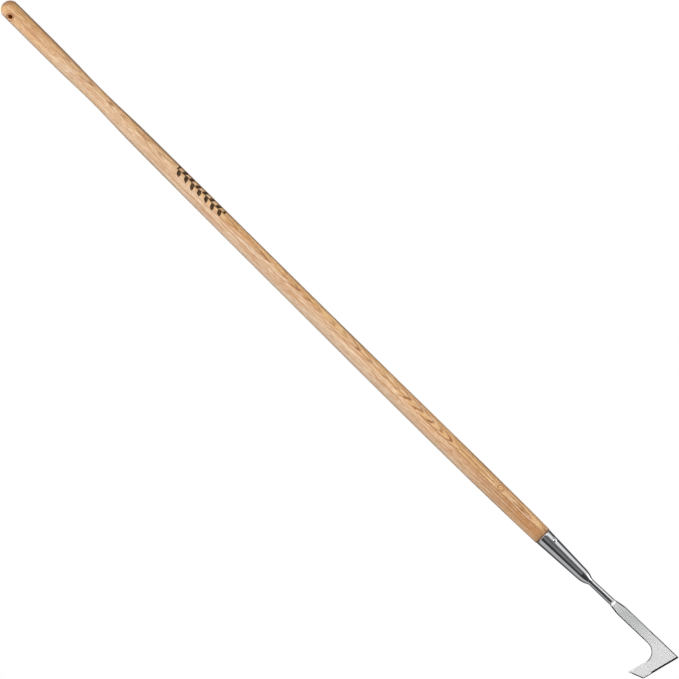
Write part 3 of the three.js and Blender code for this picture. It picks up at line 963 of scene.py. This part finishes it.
def sided(mat, wood, share, sideways):
    """Painted light and shade by side: a painted grey sheen on the left edge, painted shade on the right
    side of the grip and along both outlines, and a brown band on the right.
    """
    # painted sheen: a pale grey on the left edge, halved towards the socket
    grey = mat.ramp(share, 0.84, 0.9, 1, 0.5)
    wood = mat.mix(mat.times(mat.ramp(sideways, -15, -8, 0.5, 0), grey), wood, PAINTED_LEFT_SHEEN)
    # painted shade: a darker band along the left outline, which follows the knob and the waist
    knob = mat.ramp(share, 0.06, 0.15, 0.6, 1)
    slimmer = mat.times(knob, mat.ramp(share, 0.17, 0.45, 3.2, 0))
    left_edge_shade = mat.ramp(mat.minus(sideways, slimmer), -17, -14, 0.5, 0)
    left_edge_shade = mat.times(left_edge_shade, mat.ramp(share, 0.62, 0.7, 1, 0.7))
    wood = mat.mix(left_edge_shade, wood, PAINTED_LEFT_EDGE_SHADE)
    # painted shade: a browner right side at the top of the grip
    grip_shade = mat.times(mat.ramp(share, 0.05, 0.16, 1, 0), mat.ramp(sideways, 5, 15, 0, 0.4))
    wood = mat.mix(grip_shade, wood, PAINTED_GRIP_SHADE)
    # painted shade: a darker band along the right outline
    right_edge_shade = mat.ramp(mat.plus(sideways, slimmer), 13, 16.8, 0, 0.85)
    upper, lower = mat.ramp(share, 0.62, 0.72, 1, 0.4), mat.ramp(share, 0.8, 0.88, 0.4, 0.8)
    right_edge_shade = mat.times(right_edge_shade, mat.math("MAXIMUM", upper, lower))
    wood = mat.mix(right_edge_shade, wood, PAINTED_RIGHT_EDGE_SHADE)
    return mat.mix(mat.ramp(mat.distance_from(sideways, 7.5), 1, 5.5, 0.2, 0), wood, BAND_BROWN)


def shouldered(mat, wood, share):
    """Darker wood where the shaft's shoulder meets the socket's rim."""
    dim = (mat.ramp(share, 0.989, 0.9975, 0, 0.3), SHOULDER_BROWN)
    return mat.layered(wood, dim, (mat.ramp(share, 0.9972, 0.999, 0, 0.75), SHOULDER_DARK))


def knotted(mat, wood, distance):
    """A small knot: a pale disc with a ring of bark round it and a dark core."""
    bark = mat.times(mat.ramp(distance, 3.6, 4.6), mat.ramp(distance, 5.2, 7.4, 0.5, 0))
    return mat.layered(
        wood,
        (mat.ramp(distance, 3.4, 4.2, 0.55, 0), KNOT_PALE),
        (bark, KNOT_BARK),
        (mat.ramp(distance, 0.7, 1.9, 0.75, 0), KNOT_CORE),
    )


def around_hole(mat, place, wood):
    """Raw brown wood in the bore and a darkened rim round its countersink."""
    radius = mat.length(mat.scaled(place, 1, 0, 1))
    rim = mat.times(mat.ramp(radius, 5.4, 6.2), mat.ramp(radius, 6.6, 8.4, 0.6, 0))
    bore = mat.ramp(radius, 4.1, 4.8, 1, 0)
    return mat.layered(wood, (rim, RIM_BROWN), (bore, BORE_BROWN))


def polishing(mat, place, colour, roughness, spread, grain, relief):
    """Sets bare steel's roughness and relief and gives its tone, with grain many fine lines per
    millimetre along x, y and z."""
    def darker(share):
        return srgb(*[share * level for level in colour])

    lines = mat.noise(mat.scaled(place, *grain), 1, 4, 0.65)
    clouds = mat.noise(place, 0.06, 3)
    tone = mat.mix(mat.ramp(lines, 0.3, 0.7, 0, 0.3), srgb(*colour), darker(0.9))
    tone = mat.mix(mat.ramp(clouds, 0.4, 0.75, 0, 0.15), tone, darker(0.84))
    scuffs = mat.ramp(clouds, 0.4, 0.8, 0, spread)
    rough = mat.plus(mat.ramp(lines, 0.25, 0.75, roughness - spread, roughness + spread), scuffs)
    mat.link(rough, "Roughness")
    mat.bump(lines, relief)
    mat.set(Metallic=1.0)
    return tone


def polished_steel(name, roughness):
    """Bright steel with fine lines drawn along the tool."""
    mat = Shader(name)
    tone = polishing(mat, mat.in_mm(), POLISHED_TONE, roughness, 0.03, (0.7, 0.7, 0.03), 0.004)
    mat.link(tone, "Base Color")
    return mat.material


def blade_place(mat, place):
    """Distances on the blade: towards the toe, out of its front, and up from the neck and the sole."""
    from_neck = mat.apart(place, BLADE.translation / MM)
    toeward, out, upward = (mat.dot(from_neck, BLADE.col[axis].to_3d()) for axis in range(3))
    sole = Vector((HEEL[1] - SOLE_END[1], 0, SOLE_END[0] - HEEL[0])).normalized()
    above = BLADE.to_3x3() @ Vector((sole.z, 0, -sole.x))
    heel = BLADE @ (Vector((HEEL[1], 0, -HEEL[0])) * MM) / MM
    return toeward, out, upward, mat.dot(mat.apart(place, heel), above)


def painted_edge_darkness(mat, toeward, upward, above_sole):
    """1 where the edges get painted dark reflections, less along the shank's back and on top of the toe."""
    back = mat.times(mat.ramp(toeward, -7, -5, 1, 0), mat.band(upward, -82, -74, -24, -16))
    toe = mat.times(mat.ramp(toeward, 26, 36), mat.ramp(above_sole, 14, 20))
    return mat.ramp(mat.math("MAXIMUM", back, toe), 0, 1, 1, 0.45)


def satin_steel():
    """The blade's brushed plate: a painted reflection pales it towards both ends, a painted highlight lies
    above the sole's bevel, and painted dark reflections lie on its rounded edges and beside them on the
    shank."""
    mat = Shader("satin_steel")
    place = mat.in_mm()
    tone = polishing(mat, place, SATIN_TONE, 0.48, 0.02, (0.5, 0.5, 0.12), 0.001)
    toeward, out, upward, above_sole = blade_place(mat, place)
    face = BLADE_THICKNESS / 2
    # painted reflection: the base colour pales to white towards the sole and, less, towards the neck
    tone = mat.mix(mat.ramp(above_sole, 100, 25, 0, 1), tone, WHITE)
    tone = mat.mix(mat.ramp(upward, -28, -10, 0, 0.35), tone, WHITE)
    # painted highlight: a white strip on the face just above the sole's bevel
    grind = mat.ramp(mat.distance_from(above_sole, 4.4), 0.7, 1.2, 1, 0)
    tone = mat.mix(mat.times(grind, mat.ramp(out, face - 0.05, face)), tone, WHITE)
    # painted dark reflection on the rounded edges; the variable scale holds its colour
    scale = mat.mix(mat.noise(place, 0.8, 3), PAINTED_EDGE_GREY, PAINTED_EDGE_BLACK)
    left = painted_edge_darkness(mat, toeward, upward, above_sole)
    off_face = mat.ramp(mat.math("ABSOLUTE", out), face - 0.03, face - 0.004, 1, 0)
    tone = mat.mix(mat.times(off_face, left), tone, scale)
    # painted dark reflection on the shank's face beside its edges, mixed in below as rim
    half_width = mat.ramp(upward, -FLARE_LENGTH, 0, SHANK_INNER + 0.2, NECK_HALF_WIDTH)
    inside = mat.minus(half_width, mat.math("ABSOLUTE", toeward))
    on_shank = mat.math("GREATER_THAN", upward, mat.ramp(toeward, -1, 1, -150, -80))
    rim = mat.times(on_shank, mat.ramp(inside, 1.5, 2.2, 0.8, 0), left)
    mat.link(mat.mix(rim, tone, scale), "Base Color")
    return mat.material


def weld_steel():
    """Dressed weld metal: duller than the steel, with a faint straw tint."""
    mat = Shader("weld_steel")
    place = mat.in_mm()
    grind = mat.noise(place, 0.9, 4, 0.6)
    tint = mat.noise(place, 0.25, 2)
    tone = mat.mix(mat.ramp(grind, 0.35, 0.7, 0, 0.5), WELD_PALE, WELD_GREY)
    tone = mat.mix(mat.ramp(tint, 0.45, 0.7, 0, 0.15), tone, WELD_STRAW)
    mat.link(tone, "Base Color")
    mat.link(mat.ramp(grind, 0.3, 0.7, 0.2, 0.32), "Roughness")
    mat.bump(grind, 0.02)
    mat.set(Metallic=1.0)
    return mat.material


# ---- Stage
# Brightness of the studio's upright panels, by degrees to the camera's left of the tool's front.
PANELS = [
    (-180, 0.9), (-164, 0.9), (-152, 0.06), (-114, 0.07), (-94, 0.4), (-84, 1.15), (-58, 1.15),
    (-46, 0.26), (-24, 0.08), (-10, 0.06), (44, 0.04), (56, 0.66), (94, 0.62), (112, 0.1),
    (152, 0.06), (164, 0.9), (180, 0.9),
]
# Cards in front of the panels: where each fades in and out, in degrees round the tool and then in sines
# of the elevation, and its light.
CARDS = [
    ((-26, -8, 10, 20), (-0.17, -0.12, -0.06, -0.02), 0.3),
    ((-90, -84, -60, -52), (-0.95, -0.9, -0.4, -0.25), 2.4),
    ((-66, -58, -40, -28), (-0.065, -0.045, 0.04, 0.06), 1.5),
    ((-100, -90, -74, -66), (-0.065, -0.045, 0.04, 0.06), 0.7),
    ((68, 76, 110, 118), (-0.065, -0.045, 0.04, 0.06), 0.28),
]
CEILING_FRONT = 3.4
CEILING_MIDDLE = 0.03
CEILING_BACK = 3.4

# The camera. Degrees, and millimetres at the tool.
VIEW_ELEVATION = -2
SHAFT_SLOPE = 44.66
VIEW_WIDTH = 1117.566
VIEW_HEIGHT = -759.6  # middle of the view
VIEW_SHIFT = 5.0  # how far to the left of the shaft's line that middle is
LENS = 300
SENSOR = 36


def make_world():
    """White behind the tool for the camera. What lights the tool is a row of upright panels, in which
    the polished steel finds its streaks, under a ceiling that is bright in front and behind."""
    world = bpy.data.worlds.new("studio")
    bpy.context.scene.world = world
    world.use_nodes = True
    tree = world.node_tree
    room = Nodes(tree)
    direction = room.node("TexCoord", output=0)
    forward = room.dot(direction, facing(FRONT_AZIMUTH))
    leftward = room.dot(direction, facing(FRONT_AZIMUTH - 90))
    up = room.node("SeparateXYZ", {0: direction}, output=2)
    angle = room.times(room.math("ARCTAN2", leftward, forward), 180 / math.pi)
    around = room.plus(room.math("DIVIDE", angle, 360), 0.5)
    panels = room.grey_ramp(around, [(0.5 + degrees / 360, level) for degrees, level in PANELS])
    for across, upwards, level in CARDS:
        card = room.times(room.band(angle, *across), room.band(up, *upwards))
        panels = room.mix(card, panels, (level, level, level, 1))
    aim = room.plus(forward, room.times(leftward, 0.1))
    in_front = room.ramp(aim, 0, 1, CEILING_MIDDLE, CEILING_FRONT)
    ceiling = room.plus(in_front, room.ramp(aim, -0.35, -1, 0, CEILING_BACK))
    light = room.mix(room.ramp(up, 0.2, 0.32), panels, ceiling)
    light = room.mix(room.ramp(up, -0.97, -0.9), WHITE, light)
    seen = room.node("LightPath", output=0)
    tree.links.new(room.mix(seen, light, WHITE), tree.nodes["Background"].inputs["Color"])


def make_floor():
    """A pale round floor whose rim fades into the backdrop's white."""
    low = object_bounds()[0].z / MM - FLOOR_DROP
    piece = lathe("floor", [(0, low), (FLOOR_RADIUS / 2, low), (FLOOR_RADIUS, low)])
    mat = Shader("floor")
    place = mat.in_mm()
    mat.link(mat.mix(mat.noise(place, 0.4, 3), FLOOR_GREY, FLOOR_PALE), "Base Color")
    mat.set(Roughness=0.8)
    fade = mat.ramp(mat.length(mat.scaled(place, 1, 1, 0)), 450, 900)
    clear = mat.node("BsdfTransparent")
    blended = mat.node("MixShader", {0: fade, 1: mat.surface.outputs[0], 2: clear})
    mat.tree.links.new(blended, mat.tree.nodes["Material Output"].inputs["Surface"])
    piece.data.materials.append(mat.material)


def area_light(name, azimuth, elevation, distance, size, power, height):
    """A soft lamp that looks at the shaft's line at a height, all in metres."""
    lamp = bpy.data.lights.new(name, "AREA")
    lamp.shape = "RECTANGLE"
    lamp.size, lamp.size_y = size
    lamp.energy = power
    flat = facing(azimuth) * math.cos(radians(elevation))
    away = flat + Vector((0, 0, math.sin(radians(elevation))))
    light = bpy.data.objects.new(name, lamp)
    light.location = Vector((0, 0, height)) + away * distance
    light.rotation_mode = "QUATERNION"
    light.rotation_quaternion = away.to_track_quat("Z", "Y")
    light.visible_camera = False
    bpy.context.scene.collection.objects.link(light)
    return light


def make_camera():
    """A long lens square to the blade's front, a little below the shaft's middle, rolled so that
    the shaft runs from the upper left down to the lower right."""
    azimuth, elevation, slope = radians(FRONT_AZIMUTH), radians(VIEW_ELEVATION), radians(SHAFT_SLOPE)
    flat = facing(FRONT_AZIMUTH) * math.cos(elevation)
    back = flat + Vector((0, 0, math.sin(elevation)))
    level = Vector((math.cos(azimuth), math.sin(azimuth), 0))
    upright = back.cross(level)
    right = level * math.sin(slope) - upright * math.cos(slope)
    up = level * math.cos(slope) + upright * math.sin(slope)
    camera = bpy.data.objects.new("camera", bpy.data.cameras.new("camera"))
    camera.data.lens = LENS
    camera.data.sensor_width = SENSOR
    camera.data.clip_end = 100
    centre = (Vector((0, 0, VIEW_HEIGHT)) - level * VIEW_SHIFT) * MM
    camera.location = centre + back * VIEW_WIDTH * MM * LENS / SENSOR
    camera.rotation_mode = "QUATERNION"
    camera.rotation_quaternion = Matrix((right, up, back)).transposed().to_quaternion()
    bpy.context.scene.collection.objects.link(camera)
    bpy.context.scene.camera = camera


def make_stage():
    bpy.context.scene.view_settings.view_transform = "Standard"
    make_camera()
    make_world()
    make_floor()
    left_wash = area_light("left_wash", FRONT_AZIMUTH - 75, 15, 1.2, (0.6, 0.8), 3.0, -0.1)
    right_wash = area_light("right_wash", FRONT_AZIMUTH + 46, 0, 1.2, (0.6, 1.4), 0.9, -0.8)
    for wash in (left_wash, right_wash):
        wash.visible_glossy = False
    area_light("under", FRONT_AZIMUTH, -90, 0.7, (0.8, 0.8), 2.8, -1.5)


# ---- Assembly
def dress(piece, node, material):
    """Gives a piece its material, hangs it on the root body and hides the CAD node that it stands for."""
    piece.data.materials.clear()
    piece.data.materials.append(material)
    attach(piece, "root")
    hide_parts(node)


def make_tool():
    wood = ash_wood()
    polished = polished_steel("polished_steel", 0.11)
    rivet_steel = polished_steel("rivet_steel", 0.24)
    satin = satin_steel()
    weld = weld_steel()
    dress(make_handle(), "handle", wood)
    dress(make_socket(), "socket", polished)
    dress(make_seam(), "socket_seam_weld", weld)
    dress(make_rivet(), "rivet", rivet_steel)
    dress(make_stem(), "stem", polished)
    dress(make_nose_weld(), "nose_weld", polished)
    dress(make_blade(), "blade", satin)
    dress(make_neck_weld("neck_weld_front", 1), "blade_weld_front", weld)
    dress(make_neck_weld("neck_weld_back", -1), "blade_weld_back", weld)


make_tool()
make_stage()
